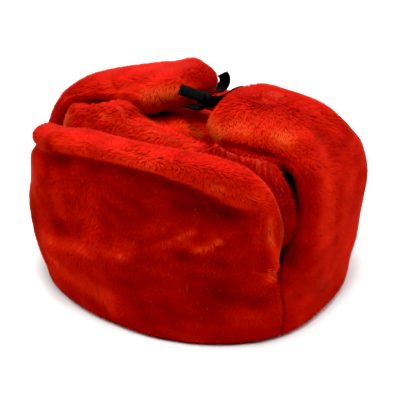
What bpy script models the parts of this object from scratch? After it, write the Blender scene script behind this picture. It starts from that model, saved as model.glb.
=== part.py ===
"""A fur ushanka as it stands on a table: visor turned up, ear flaps tied together over the crown.

Frame: metres, +Z up, the table at z = 0, the origin under the middle of the hat. The hat's front
is -Y and the wearer's left is +X. Sizes in the tables are millimetres and degrees, and an angle
goes round the hat from 0 at the front through 90 at the wearer's left to 180 at the back.
"""

import bpy
import numpy as np

MM = 0.001

# The head opening and the walls around it
OPENING_HALF_WIDTH = 90.5
OPENING_HALF_LENGTH = 83.5
OPENING_SQUARENESS = 2.3  # exponent of the plan's superellipse; 2 is a plain ellipse
# The hat's plan is a little fuller towards one angle, by a share of its radius
OPENING_PUSH = 0.05
OPENING_PUSH_ANGLE = 72.0
OPENING_PUSH_SPREAD = 22.0
CROWN_WALL = 5.5
FLAP_HALF_THICKNESS = 9.5
SEWN_GAP = 0.5  # between the flaps and the crown they are sewn to
SEAM_GAP = 0.9  # between a flap and the next one
EDGE_RADIUS = 13.0  # rounding of a flap's free edges
EDGE_START = 1.5  # the rounding starts this far on, which leaves a blunt strip at the edge
RIM_START = 1.6  # the same at the rim, the flat strip the hat stands on
NORMAL_PASSES = 3
SEWN_LEVEL = 2  # number of the level at SEWN_HEIGHT, counted from the rim
SEWN_HEIGHT = 42.0  # the flaps are sewn to the crown and to each other up to here
SEWN_FADE = 12.0  # above that, the flaps' ends come to their rounded shape over this height

# Where the visor ends and the ear flaps begin
SEAM_ANGLE = 68.0
SEAM_HEADING = 72.0
SEAM_OUT = 5.0
SEAM_SLANT = 6.0  # how far forward of its foot the seam is at SEWN_HEIGHT

# Crown profile: share of the plan radius, height
CROWN_PROFILE = {
    "share": (1.00, 1.00, 0.99, 0.975, 0.93, 0.85, 0.72, 0.50, 0.25, 0.0),
    "height": (0.0, 42.0, 70.0, 92.0, 107.0, 116.0, 122.0, 126.0, 127.0, 127.0),
}

# Where the crown's upper part is pushed out or in: towards angle, over spread degrees, by push
# as a share of the plan radius, coming in from the height start on
CROWN_LOBES = {
    "angle": (-52, -71, 70, 0, 180, -118),
    "spread": (18, 8.5, 9.5, 30, 60, 28),
    "push": (0.015, 0.14, 0.205, -0.03, -0.01, -0.09),
    "start": (60, 60, 45, 60, 60, 60),
}

# Folds and dents of the crown's soft top: a line on the plan from (x, y) to (to_x, to_y),
# the half-width of the fold and how far it rises
CROWN_FOLDS = {
    "x": (-87, -45, 58, -50, 28, -20, 0, -78),
    "y": (-38, -51, -50, -44, -18, -14, 70, 5),
    "to_x": (-34, 40, 92, -22, 74, 12, 0, -50),
    "to_y": (-43, -51, -43, -46, -14, -20, 80, 60),
    "half_width": (12.5, 13.5, 10, 5, 15, 14, 45, 26),
    "rise": (14.5, 14, 20, -5, -19, 7, -17, -16),
}

# Sections of an ear flap with its half of the neck flap. Each stands on the rim at angle and
# leans along heading, or along fold_heading from the crest on. out is measured from the foot.
EAR_SECTIONS = {
    "angle": (SEAM_ANGLE, 80, 90, 102, 112, 122, 134, 150, 180),
    "heading": (SEAM_HEADING, 80, 89, 94, 101, 111, 126, 149, 180),
    "fold_heading": (89, 89, 89, 91, 95, 105, 124, 149, 180),
    "sewn_out": (SEAM_OUT, 6, 6, 7, 7, 7, 6, 5, 5),
    "belly_out": (7, 8, 8, 9, 10, 10, 9.5, 9, 9),
    "belly_height": (64, 66, 66, 66, 64, 61, 58, 57, 56),
    "shoulder_out": (5, 5, 6, 9, 12, 13, 12, 10.5, 10.5),
    "shoulder_height": (94, 98, 99, 99, 96, 89, 80, 75, 73),
    "left_crest_out": (-8, -12, -12, -7, 2, 8, 9, 8, 8),
    "left_crest_height": (126, 129, 128, 128, 123, 110, 96, 89, 87),
    "left_inner_out": (-36, -40, -40, -34, -16, -2, 4, 4, 3),
    "left_inner_height": (129, 143, 151, 148, 138, 119, 104, 97, 95),
    "left_tip_out": (-76, -81, -78, -56, -31, -11, -2, -3, -4),
    "left_tip_height": (131, 142, 148, 147, 142, 126, 110, 103, 101),
    "right_crest_out": (-7, -10, -11, -11, -6, 1, 7, 8, 8),
    "right_crest_height": (125, 126, 124, 119, 113, 104, 94, 89, 87),
    "right_inner_out": (-52, -56, -58, -54, -36, -14, 0, 4, 3),
    "right_inner_height": (142, 143, 141, 137, 127, 114, 102, 97, 95),
    "right_tip_out": (-106, -116, -119, -96, -62, -28, -6, -3, -4),
    "right_tip_height": (152, 156, 160, 159, 143, 123, 109, 103, 101),
}
# How far the front edge of each flap slants back at each level, and over how many degrees it fades
EAR_SLANT = {
    "left": {"belly": 2, "shoulder": 17, "crest": 20, "inner": 9, "tip": 2},
    "right": {"belly": -3, "shoulder": 2, "crest": 7, "inner": 10, "tip": 8},
}
EAR_SLANT_FADE = 40.0
EAR_TIP_CORNER = 24.0

# The folded part of an ear flap is thicker on each side: from a share of its length on, up to
# an angle. There the radius that rounds its front edge is larger too.
EAR_PUFF = 4.0
EAR_FRONT_ROUND = 13.0
EAR_PUFF_START = 0.55
EAR_PUFF_END = 92.0

# Sections of the visor, the same way, from the wearer's right end to the left one. Its edge is
# rolled over to the outside: roll_width is the roll's width down from the edge, and groove the
# depth of the groove under it
VISOR_SECTIONS = {
    "angle": (-SEAM_ANGLE, -60, -48, -32, -16, 0, 16, 32, 48, 60, SEAM_ANGLE),
    "heading": (-SEAM_HEADING, -61, -46, -28, -13, 0, 13, 28, 46, 61, SEAM_HEADING),
    "sewn_out": (SEAM_OUT, 8, 9, 8, 6, 6, 6, 7, 7, 6, SEAM_OUT),
    "belly_out": (6, 10, 11, 9, 7, 7, 7, 8, 9, 8, 6),
    "belly_height": (62, 64, 64, 66, 66, 66, 66, 66, 65, 64, 62),
    "shoulder_out": (7, 9, 9, 9, 7, 6, 6, 7, 8, 8, 6),
    "shoulder_height": (71, 76, 82, 89, 94, 95, 95, 94, 89, 83, 77),
    "brow_out": (5, 8, 8, 5, 3, 2, 2, 3, 5, 7, 6),
    "brow_height": (80, 90, 102, 114, 122, 124, 124, 122, 114, 103, 92),
    "tip_out": (-8, -9, -9, -6, -4, -4, -4, -4, -5, -6, -3),
    "tip_height": (100, 109, 119.5, 131, 142, 145, 146, 146, 141, 131, 117),
    "roll_width": (16, 18, 20, 21, 19.5, 16.5, 15.5, 19.5, 27.5, 29.5, 24),
    "groove": (0, 0, 1, 5, 5, 4.5, 4.5, 5, 6, 6, 1),
}
VISOR_SLANT = {"belly": 8, "shoulder": 9, "brow": 8, "tip": 6}
VISOR_SLANT_FADE = 34.0
VISOR_CORNER = 20.0
VISOR_ROLL = 8.0  # how much the visor's rolled edge is thicker
VISOR_ROLL_FADE = 0.4  # share of that which it loses at the wearer's right end
VISOR_ROLL_INWARD = 0.25  # share of it that each side gains, and the outer one gains the rest
VISOR_ROLL_STEP = 6.0  # width over which the roll comes to its full thickness
VISOR_GROOVE_HALF_WIDTH = 5.0

# Creases and dents on the outer face of a flap: a line from one angle and length up the flap
# to another, the half-width of the crease and how far it rises
CREASE_REACH = 110.0  # plan radius at which an angle is counted as a length along the flap
VISOR_CREASES = {
    "angle": (-26, -3, 13, 26, 42, 42, -44, -26, 4),
    "up": (46, 68, 74, 92, 90, 52, 30, 78, 30),
    "to_angle": (-3, 13, 26, 38, 50, 60, -30, 4, 24),
    "to_up": (68, 74, 92, 102, 96, 47, 24, 92, 40),
    "half_width": (7.5, 7.5, 7.5, 7.5, 7.5, 12, 12, 15, 14),
    "rise": (5, 4.5, 5.5, 5, 4.5, -3, 2.5, -2, -1.5),
}
EAR_CREASES = {
    "angle": (80, 100, 120),
    "up": (150, 40, 60),
    "to_angle": (92, 104, 124),
    "to_up": (190, 100, 100),
    "half_width": (13, 15, 15),
    "rise": (2, -2, -2),
}

# The black cotton tapes: the middle of each from point to point, and across, the way its width
# goes there
TAPE_WIDTH = 8.0
TAPE_THICKNESS = 1.1
SIDE_TAIL = {
    "x": (24.4, 19.3, 13.7, 8.1),
    "y": (-22.5, -25.5, -28.0, -30.2),
    "z": (158.0, 159.8, 161.4, 162.9),
    "across": ((0.3, -0.4, -0.87), (0.3, -0.4, -0.87), (0.28, -0.36, -0.89), (0.28, -0.36, -0.89)),
}
UPRIGHT_TAIL = {
    "x": (22.9, 26.5, 29.0, 29.2, 28.0),
    "y": (-12.4, -8.5, -5.5, -4.8, -5.8),
    "z": (157.6, 160.2, 164.2, 168.5, 172.0),
    "across": ((0.7, -0.3, 0.6), (0.8, 0.2, 0.3), (0.79, 0.62, 0), (0.79, 0.62, 0), (0.75, 0.65, 0.1)),
}
LEFT_TIE = {
    "x": (24.1, 25.0, 26.2, 28.5, 31.5, 34.0),
    "y": (-12.4, -6.5, -0.5, 4.0, 7.5, 11.0),
    "z": (151.6, 149.8, 150.2, 152.6, 154.6, 155.2),
    "across": (
        (0, 0, 1),
        (-0.1, 0, 1),
        (0.1, -0.1, 1),
        (0.2, -0.2, 1),
        (0.1, -0.1, 1),
        (0.1, 0, 1),
    ),
}
RIGHT_TIE = {
    "x": (19.6, 18.0, 13.0, 4.0),
    "y": (-17.0, -16.6, -16.0, -15.5),
    "z": (148.5, 145.8, 144.5, 144.4),
    "across": ((0, 1, 0), (0.1, 1, 0), (0.1, 1, 0), (0.1, 1, 0)),
}
TAPE_STEPS = 12
KNOT_CENTRE = (20.5, -17.5, 154.5)
KNOT_RADII = (6.0, 6.4, 5.6)
KNOT_GRID = (18, 10)

# Mesh fineness: stretches along and up a flap, round and over the crown
EAR_GRID = (33, 18)
VISOR_GRID = (38, 17)
CROWN_ROUNDS = 54
CROWN_ROWS = 19
CROWN_INNER_ROWS = 11


def plan_radius(angle, half_width, half_length):
    """Distance from the centre to a superellipse, at angles in degrees."""
    a = np.radians(angle)
    power = OPENING_SQUARENESS
    reach = np.abs(np.sin(a) / half_width) ** power + np.abs(np.cos(a) / half_length) ** power
    turn = ((angle - OPENING_PUSH_ANGLE + 180) % 360 - 180) / OPENING_PUSH_SPREAD
    return reach ** (-1 / power) * (1 + OPENING_PUSH * np.exp(-(turn**2)))


def heading_vector(angle):
    a = np.radians(angle)
    return np.stack([np.sin(a), -np.cos(a), np.zeros_like(a)], -1)


def side_vector(angle):
    a = np.radians(angle)
    return np.stack([np.cos(a), np.sin(a), np.zeros_like(a)], -1)


def smooth_through(keys, rows, at, slope=None):
    """A cubic Hermite curve through rows at keys, read at the places given."""
    keys = np.asarray(keys, float)
    rows = np.asarray(rows, float)
    if slope is None:
        slope = np.gradient(rows, keys, axis=0)
    i = np.clip(np.searchsorted(keys, at, side="right") - 1, 0, len(keys) - 2)
    span = keys[i + 1] - keys[i]
    t = (at - keys[i]) / span
    shape = (-1,) + (1,) * (rows.ndim - 1)
    t = t.reshape(shape)
    span = span.reshape(shape)
    return (
        (2 * t**3 - 3 * t**2 + 1) * rows[i]
        + (t**3 - 2 * t**2 + t) * span * slope[i]
        + (3 * t**2 - 2 * t**3) * rows[i + 1]
        + (t**3 - t**2) * span * slope[i + 1]
    )


def level_slopes(line):
    """Slopes up a flap's levels that keep its line from swinging past them.

    At the sewn level the slope is the one from below, so that two pieces that share their
    first levels along a seam share the whole line up to there.
    """
    step = np.diff(line, axis=0)
    slope = np.concatenate([step[:1], np.zeros_like(step[1:]), step[-1:]])
    total = step[:-1] + step[1:]
    same = step[:-1] * step[1:] > 0
    middle = 2 * step[:-1] * step[1:] / np.where(same, total, 1)
    slope[1:-1] = np.where(same, middle, 0)
    slope[SEWN_LEVEL] = step[SEWN_LEVEL - 1]
    return slope


def smooth_step(x):
    x = np.clip(x, 0, 1)
    return x * x * (3 - 2 * x)


def dense_ends(count, strength=0.75):
    """count + 1 places from 0 to 1, closer together at both ends."""
    x = np.linspace(0, 1, count + 1)
    return x - strength * np.sin(2 * np.pi * x) / (2 * np.pi)


def foot_radius(angle):
    """Plan radius of a flap's middle surface at the rim."""
    out = CROWN_WALL + SEWN_GAP + FLAP_HALF_THICKNESS
    return plan_radius(angle, OPENING_HALF_WIDTH + out, OPENING_HALF_LENGTH + out)


def flap_middle(sections, levels, angles, rise, slant):
    """The middle surface of a flap: for each angle, a smooth line up through its levels.

    angles has one entry for each column, and rise is 0 at the rim and 1 at the edge, one row
    for each column. Returns points and the length of each line.
    """
    keys = sections["angle"]
    column = {name: smooth_through(keys, sections[name], angles) for name in sections}
    foot = heading_vector(angles) * foot_radius(angles)[:, None]
    straight = heading_vector(column["heading"])
    folded = heading_vector(column.get("fold_heading", column["heading"]))
    sideways = side_vector(column["heading"])
    up = np.array([0.0, 0.0, 1.0])
    sewn_out = column["sewn_out"][:, None]
    sewn_slant = slant[0][:, None]
    line = [foot]
    line.append(foot + straight * sewn_out * 0.3 + up * SEWN_HEIGHT * 0.5)
    line.append(foot + straight * sewn_out + sideways * sewn_slant + up * SEWN_HEIGHT)
    for (out_name, height_name), back in zip(levels, slant[1:]):
        out = column[out_name][:, None]
        height = column[height_name][:, None]
        lean = straight if out_name in ("belly_out", "shoulder_out") else folded
        line.append(foot + lean * out + sideways * back[:, None] + up * height)
    line = np.stack(line)
    places = np.arange(len(line))
    fine = smooth_through(places, line, np.linspace(0, len(line) - 1, 161), level_slopes(line))
    step = np.linalg.norm(np.diff(fine, axis=0), axis=-1)
    run = np.concatenate([np.zeros((1, len(angles))), np.cumsum(step, axis=0)])
    length = run[-1]
    points = np.empty(rise.shape + (3,))
    for c in range(len(angles)):
        for axis in range(3):
            points[c, :, axis] = np.interp(rise[c] * length[c], run[:, c], fine[:, c, axis])
    return points, length


def round_edge(distance, radius, start):
    """Share of the full half-thickness at a distance from an edge rounded with radius."""
    x = np.clip((distance + start) / radius, 0, 1)
    return np.sqrt(1 - (1 - x) ** 2)


def evened(normal, passes):
    """Unit normals averaged with their neighbours along the first axis, pass after pass."""
    for _ in range(passes):
        around = normal.copy()
        around[1:-1] = normal[:-2] + 2 * normal[1:-1] + normal[2:]
        around[:, 1:-1] = around[:, :-2] + 2 * around[:, 1:-1] + around[:, 2:]
        normal = around / np.linalg.norm(around, axis=-1, keepdims=True)
    return normal


def slab(middle, half, swell, ends):
    """A closed solid between two skins, half the thickness to each side of a middle surface.

    swell is what the outer skin gains in its creases and loses in its dents. ends are the
    directions along the surface at its first and last columns, so that the faces two pieces
    are sewn together at lie flat on each other.
    """
    along = np.gradient(middle, axis=0)
    along[0] = ends[0]
    along[-1] = ends[1]
    upward = np.gradient(middle, axis=1)
    normal = np.cross(along, upward)
    normal /= np.linalg.norm(normal, axis=-1, keepdims=True)
    normal[1:-1] = evened(normal, NORMAL_PASSES)[1:-1]
    outer = middle + normal * (half + swell)[..., None]
    inner = middle - normal * half[..., None]
    outer[..., 2] = np.maximum(outer[..., 2], 0)
    inner[..., 2] = np.maximum(inner[..., 2], 0)
    columns, rows = half.shape
    index = np.arange(columns * rows).reshape(columns, rows)
    faces = []
    for c in range(columns - 1):
        for r in range(rows - 1):
            quad = (index[c, r], index[c + 1, r], index[c + 1, r + 1], index[c, r + 1])
            faces.append(quad)
            faces.append(tuple(columns * rows + i for i in reversed(quad)))
    border = np.concatenate([index[:, 0], index[-1, 1:], index[-2::-1, -1], index[0, -2:0:-1]])
    for a, b in zip(border, np.roll(border, -1)):
        faces.append((b, a, columns * rows + a, columns * rows + b))
    points = np.concatenate([outer.reshape(-1, 3), inner.reshape(-1, 3)])
    return points, faces


def add_object(name, points, faces, material):
    mesh = bpy.data.meshes.new(name)
    mesh.from_pydata((points * MM).tolist(), [], [tuple(int(i) for i in f) for f in faces])
    mesh.validate()
    mesh.shade_smooth()
    mesh.materials.append(material)
    thing = bpy.data.objects.new(name, mesh)
    bpy.context.collection.objects.link(thing)
    return thing


def principled(name, colour, roughness, sheen=0.0):
    material = bpy.data.materials.new(name)
    material.use_nodes = True
    shader = material.node_tree.nodes["Principled BSDF"]
    shader.inputs["Base Color"].default_value = (*colour, 1)
    shader.inputs["Roughness"].default_value = roughness
    shader.inputs["Sheen Weight"].default_value = sheen
    return material


def crown_folds(x, y):
    """How far the soft top rises or sinks at a place on the plan."""
    lift = np.zeros_like(x)
    for values in zip(*CROWN_FOLDS.values()):
        fold = dict(zip(CROWN_FOLDS, values))
        run = np.array([fold["to_x"] - fold["x"], fold["to_y"] - fold["y"]], float)
        t = ((x - fold["x"]) * run[0] + (y - fold["y"]) * run[1]) / (run @ run)
        t = np.clip(t, 0, 1)
        gap = np.hypot(x - fold["x"] - t * run[0], y - fold["y"] - t * run[1])
        lift = lift + fold["rise"] * np.exp(-((gap / fold["half_width"]) ** 2))
    return lift


def crown_lobes(angles, height):
    """How much of the plan radius the crown's upper part is pushed out by: for each lobe,
    push exp(-(turn / spread)^2), coming in over 50 mm of height."""
    push = np.zeros((len(angles), len(height)))
    for angle, spread, amount, start in zip(*CROWN_LOBES.values()):
        turn = (angles - angle + 180) % 360 - 180
        near = np.exp(-((turn / spread) ** 2))[:, None]
        push = push + amount * near * smooth_step((height - start) / 50)
    return push


def crown_shell(inset, rows):
    """One skin of the crown, inset from its outer face: a grid of angles by profile rows."""
    angles = np.linspace(0, 360, CROWN_ROUNDS, endpoint=False)
    keys = np.arange(len(CROWN_PROFILE["share"]))
    places = np.linspace(0, keys[-1], rows)
    share = smooth_through(keys, CROWN_PROFILE["share"], places)
    height = smooth_through(keys, CROWN_PROFILE["height"], places)
    share = share * (1 + crown_lobes(angles, height) * np.clip(share * 2.5, 0, 1))
    half_width = OPENING_HALF_WIDTH + CROWN_WALL - inset
    half_length = OPENING_HALF_LENGTH + CROWN_WALL - inset
    radius = plan_radius(angles, half_width, half_length)[:, None] * share
    x = radius * np.sin(np.radians(angles))[:, None]
    y = -radius * np.cos(np.radians(angles))[:, None]
    top = smooth_step((height - 70) / 45)
    z = height - inset * smooth_step(height / 90) + crown_folds(x, y) * top
    return np.stack([x, y, z], -1)


def skin_faces(rounds, rows, offset, flip):
    """Faces of one skin of the crown: bands of four-sided faces closed by a fan at the top."""
    index = offset + np.arange(rounds * rows).reshape(rounds, rows)
    faces = []
    for c in range(rounds):
        n = (c + 1) % rounds
        for r in range(rows - 2):
            faces.append((index[c, r], index[n, r], index[n, r + 1], index[c, r + 1]))
        faces.append((index[c, rows - 2], index[n, rows - 2], index[0, rows - 1]))
    if flip:
        faces = [tuple(reversed(face)) for face in faces]
    return faces, index[:, 0]


def make_crown(material):
    outer = crown_shell(0.0, CROWN_ROWS)
    inner = crown_shell(CROWN_WALL, CROWN_INNER_ROWS)
    faces, hem = skin_faces(CROWN_ROUNDS, CROWN_ROWS, 0, False)
    more, inner_hem = skin_faces(CROWN_ROUNDS, CROWN_INNER_ROWS, outer.shape[0] * outer.shape[1], True)
    faces += more
    for c in range(CROWN_ROUNDS):
        n = (c + 1) % CROWN_ROUNDS
        faces.append((hem[n], hem[c], inner_hem[c], inner_hem[n]))
    points = np.concatenate([outer.reshape(-1, 3), inner.reshape(-1, 3)])
    return add_object("crown", points, faces, material)


def crease_swell(creases, angles, up, half):
    """How far the creases lift the outer face at each place, fading out with the thickness."""
    along = np.radians(angles)[:, None] * CREASE_REACH + 0 * up
    lift = np.zeros_like(up)
    for values in zip(*creases.values()):
        crease = dict(zip(creases, values))
        start = np.array([np.radians(crease["angle"]) * CREASE_REACH, crease["up"]])
        run = np.array([np.radians(crease["to_angle"]) * CREASE_REACH, crease["to_up"]]) - start
        t = ((along - start[0]) * run[0] + (up - start[1]) * run[1]) / (run @ run)
        t = np.clip(t, 0, 1)
        gap = np.hypot(along - start[0] - t * run[0], up - start[1] - t * run[1])
        lift = lift + crease["rise"] * np.exp(-((gap / crease["half_width"]) ** 2))
    return lift * smooth_step(half / FLAP_HALF_THICKNESS - 0.3)


def rounded_corner(distance, radius):
    """How much shorter a line is at a distance from an edge, for a quarter-round corner."""
    x = np.clip(distance / radius, 0, 1)
    return radius * (1 - np.sqrt(1 - (1 - x) ** 2))


def edge_taper(from_ends, from_top, from_rim, height, end_radius=EDGE_RADIUS):
    """Share of the full half-thickness over a flap: thinned to its rounded free edges.

    The ends stay thick where they are sewn to the next piece, below SEWN_HEIGHT.
    """
    sewn = EDGE_RADIUS * (1 - smooth_step((height - SEWN_HEIGHT) / SEWN_FADE))
    ends = round_edge(from_ends, end_radius, np.maximum(EDGE_START, sewn))
    top = round_edge(from_top, EDGE_RADIUS, EDGE_START)
    rim = round_edge(from_rim, EDGE_RADIUS, RIM_START)
    return ends * top * rim


def sewn_step(angle):
    """Degrees that half the gap between two sewn pieces takes at the rim."""
    return np.degrees(SEAM_GAP / 2 / foot_radius(np.array([angle]))[0])


def make_ear_flap(name, side, material):
    hand = "left" if side > 0 else "right"
    columns, rows = EAR_GRID
    first = SEAM_ANGLE + sewn_step(SEAM_ANGLE)
    last = 180.0 - sewn_step(180.0)
    angles = first + (last - first) * dense_ends(columns, 0.6)
    fade = 1 - smooth_step((angles - first) / EAR_SLANT_FADE)
    slant = [amount * fade for amount in (-SEAM_SLANT, *EAR_SLANT[hand].values())]
    levels = [("belly_out", "belly_height"), ("shoulder_out", "shoulder_height")]
    for level in ("_crest", "_inner", "_tip"):
        levels.append((hand + level + "_out", hand + level + "_height"))
    rise = np.tile(dense_ends(rows), (columns + 1, 1))
    length = flap_middle(EAR_SECTIONS, levels, angles, rise, slant)[1]
    from_front = np.radians(angles - first) * foot_radius(angles)
    rise = rise * (1 - rounded_corner(from_front, EAR_TIP_CORNER) / length)[:, None]
    middle, length = flap_middle(EAR_SECTIONS, levels, angles, rise, slant)
    from_top = (rise.max(axis=1, keepdims=True) - rise) * length[:, None]
    from_rim = rise * length[:, None]
    puff = smooth_step((rise - EAR_PUFF_START) / 0.2)
    puff = puff * (1 - smooth_step((angles - EAR_PUFF_END) / 22))[:, None]
    front_radius = EDGE_RADIUS + EAR_FRONT_ROUND * puff
    taper = edge_taper(from_front[:, None], from_top, from_rim, middle[..., 2], front_radius)
    half = (FLAP_HALF_THICKNESS + EAR_PUFF * puff) * taper
    swell = crease_swell(EAR_CREASES, angles, from_rim, half)
    ends = side_vector(np.array([SEAM_HEADING, 180.0]))
    points, faces = slab(middle, half, swell, ends)
    if side < 0:
        points = points * np.array([-1, 1, 1])
        faces = [tuple(reversed(f)) for f in faces]
    return add_object(name, points, faces, material)


def make_visor(material):
    columns, rows = VISOR_GRID
    last = SEAM_ANGLE - sewn_step(SEAM_ANGLE)
    angles = last * (2 * dense_ends(columns, 0.5) - 1)
    fade = 1 - smooth_step((last - np.abs(angles)) / VISOR_SLANT_FADE)
    slant = [-np.sign(angles) * amount * fade for amount in (SEAM_SLANT, *VISOR_SLANT.values())]
    levels = [(level + "_out", level + "_height") for level in ("belly", "shoulder", "brow", "tip")]
    rise = np.tile(dense_ends(rows), (columns + 1, 1))
    length = flap_middle(VISOR_SECTIONS, levels, angles, rise, slant)[1]
    from_end = np.radians(last - np.abs(angles)) * foot_radius(angles)
    rise = rise * (1 - rounded_corner(from_end, VISOR_CORNER) / length)[:, None]
    middle, length = flap_middle(VISOR_SECTIONS, levels, angles, rise, slant)
    from_top = (rise.max(axis=1, keepdims=True) - rise) * length[:, None]
    from_rim = rise * length[:, None]
    taper = edge_taper(from_end[:, None], from_top, from_rim, middle[..., 2])
    free = smooth_step((middle[..., 2] - SEWN_HEIGHT) / 30)
    width = smooth_through(VISOR_SECTIONS["angle"], VISOR_SECTIONS["roll_width"], angles)
    deep = smooth_through(VISOR_SECTIONS["angle"], VISOR_SECTIONS["groove"], angles)[:, None]
    past_roll = np.minimum(from_top, from_end[:, None] * 1.5 + 200 * (1 - free)) - width[:, None]
    roll = 1 - smooth_step(past_roll / VISOR_ROLL_STEP + 1)
    fullness = 1 - VISOR_ROLL_FADE * smooth_step((-angles[:, None] - 45) / 20)
    roll = VISOR_ROLL * fullness * roll
    half = (FLAP_HALF_THICKNESS + VISOR_ROLL_INWARD * roll) * taper
    swell = crease_swell(VISOR_CREASES, angles, from_rim, half) + (1 - VISOR_ROLL_INWARD) * roll * taper
    groove = np.exp(-((past_roll / VISOR_GROOVE_HALF_WIDTH) ** 2))
    along_top = smooth_step((from_end[:, None] * 1.5 - from_top) / 20 + 0.5)
    swell = swell - deep * along_top * taper * groove
    ends = side_vector(np.array([-SEAM_HEADING, SEAM_HEADING]))
    points, faces = slab(middle, half, swell, ends)
    return add_object("front_visor", points, faces, material)


def make_tape(name, tape, material):
    """A flat tape with square-cut ends, its rectangle of a section carried along its line."""
    keys = np.arange(len(tape["x"]))
    places = np.linspace(0, keys[-1], TAPE_STEPS)
    line = np.stack([tape["x"], tape["y"], tape["z"]], -1)
    middle = smooth_through(keys, line, places)
    across = smooth_through(keys, tape["across"], places)
    forward = np.gradient(middle, axis=0)
    forward /= np.linalg.norm(forward, axis=-1, keepdims=True)
    across -= (across * forward).sum(-1, keepdims=True) * forward
    across *= TAPE_WIDTH / 2 / np.linalg.norm(across, axis=-1, keepdims=True)
    face = np.cross(forward, across)
    face *= TAPE_THICKNESS / 2 / np.linalg.norm(face, axis=-1, keepdims=True)
    corners = ((1, 1), (-1, 1), (-1, -1), (1, -1))
    rings = np.stack([middle + a * across + f * face for a, f in corners], 1)
    faces = [(3, 2, 1, 0)]
    for step in range(TAPE_STEPS - 1):
        for corner in range(4):
            a = step * 4 + corner
            b = step * 4 + (corner + 1) % 4
            faces.append((a, b, b + 4, a + 4))
    end = (TAPE_STEPS - 1) * 4
    faces.append((end, end + 1, end + 2, end + 3))
    return add_object(name, rings.reshape(-1, 3), faces, material)


def make_knot(material):
    """The knot: a flattened ball, grooved where the tapes wind round each other."""
    rounds, rows = KNOT_GRID
    turn = np.linspace(0, 2 * np.pi, rounds, endpoint=False)[:, None]
    climb = np.linspace(-np.pi / 2, np.pi / 2, rows + 1)[None, 1:-1]
    groove = 1 - 0.12 * np.cos(3 * turn + 2.5 * climb) ** 2 * np.cos(climb)
    ball = np.stack(
        [
            np.cos(climb) * np.cos(turn) * groove,
            np.cos(climb) * np.sin(turn) * groove,
            np.sin(climb) * np.ones_like(turn),
        ],
        -1,
    )
    points = np.concatenate([ball.reshape(-1, 3), [[0, 0, -1], [0, 0, 1]]])
    points = points * np.array(KNOT_RADII) + np.array(KNOT_CENTRE)
    index = np.arange(rounds * (rows - 1)).reshape(rounds, rows - 1)
    low = rounds * (rows - 1)
    faces = []
    for c in range(rounds):
        n = (c + 1) % rounds
        for r in range(rows - 2):
            faces.append((index[c, r], index[n, r], index[n, r + 1], index[c, r + 1]))
        faces.append((index[n, 0], index[c, 0], low))
        faces.append((index[c, rows - 2], index[n, rows - 2], low + 1))
    return add_object("tie_knot", points, faces, material)


def main():
    for thing in list(bpy.data.objects):
        bpy.data.objects.remove(thing)
    fur = principled("red_fur", (0.6, 0.02, 0.005), 0.8, 0.6)
    make_crown(fur)
    make_visor(fur)
    make_ear_flap("left_ear_flap", 1, fur)
    make_ear_flap("right_ear_flap", -1, fur)
    cotton = principled("black_cotton_tape", (0.01, 0.01, 0.012), 0.9)
    make_knot(cotton)
    make_tape("side_tail", SIDE_TAIL, cotton)
    make_tape("upright_tail", UPRIGHT_TAIL, cotton)
    make_tape("left_tie", LEFT_TIE, cotton)
    make_tape("right_tie", RIGHT_TIE, cotton)


main()
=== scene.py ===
"""A fur ushanka in bright red sheared pile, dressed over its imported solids.

The shapes' formulas and tables are those of the part's source, in millimetres and degrees: the
front is -Y, the wearer's left is +X, and an angle goes round the hat from 0 at the front
through 90 at the wearer's left to 180 at the back. The solids end where the pile ends, so each
pad of fabric here is drawn in by the depth of the pile, and the pile stands on it.
"""

import bmesh
import bpy
import numpy as np
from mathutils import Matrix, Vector


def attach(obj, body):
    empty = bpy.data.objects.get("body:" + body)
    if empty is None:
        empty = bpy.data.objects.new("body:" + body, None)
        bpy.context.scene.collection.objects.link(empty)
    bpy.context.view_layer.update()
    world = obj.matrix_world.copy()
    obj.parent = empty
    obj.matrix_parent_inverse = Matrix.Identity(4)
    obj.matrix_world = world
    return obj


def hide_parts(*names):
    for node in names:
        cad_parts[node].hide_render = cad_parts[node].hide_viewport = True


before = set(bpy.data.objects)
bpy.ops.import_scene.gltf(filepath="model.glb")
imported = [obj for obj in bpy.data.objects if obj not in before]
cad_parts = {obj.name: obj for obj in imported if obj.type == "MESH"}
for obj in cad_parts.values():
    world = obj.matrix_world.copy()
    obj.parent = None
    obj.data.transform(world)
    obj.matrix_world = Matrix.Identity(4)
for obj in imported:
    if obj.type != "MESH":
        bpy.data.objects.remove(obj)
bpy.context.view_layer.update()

MM = 0.001

# The photograph's view
CAMERA_AZIMUTH = 38.0
CAMERA_ELEVATION = 27.0
CAMERA_DISTANCE = 1100.0
CAMERA_TARGET = (0.0, 0.0, 67.0)
CAMERA_LENS = 129.3
CAMERA_SHIFT = (0.0075, -0.025)

# The head opening and the walls around it
OPENING_HALF_WIDTH = 90.5
OPENING_HALF_LENGTH = 83.5
OPENING_SQUARENESS = 2.3  # exponent of its superellipse
# The plan is fuller towards one angle, by a share of its radius
OPENING_PUSH = 0.05
OPENING_PUSH_ANGLE = 72.0
OPENING_PUSH_SPREAD = 22.0
CROWN_WALL = 5.5
FLAP_HALF_THICKNESS = 9.5
SEWN_GAP = 0.5  # between the flaps and the crown they are sewn to
SEAM_GAP = 0.9  # between a flap and the next one
EDGE_RADIUS = 13.0  # rounding of a flap's free edges
EDGE_START = 1.5  # it starts this far on, which leaves a blunt strip
RIM_START = 1.6  # the same at the rim
END_BULGE = 0.6  # of the arcs that close a flap's ends and its edge, by the half-thickness
EDGE_BULGE = 0.5
SEWN_LEVEL = 2  # number of the level at SEWN_HEIGHT
SEWN_HEIGHT = 42.0  # the flaps are sewn to the crown and to each other up to here
SEWN_FADE = 12.0  # above that, the flaps' ends round off over this height

# Where the visor ends and the ear flaps begin
SEAM_ANGLE = 68.0
SEAM_HEADING = 72.0
SEAM_OUT = 5.0
SEAM_SLANT = 6.0  # how far forward of its foot the seam is at SEWN_HEIGHT

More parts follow.
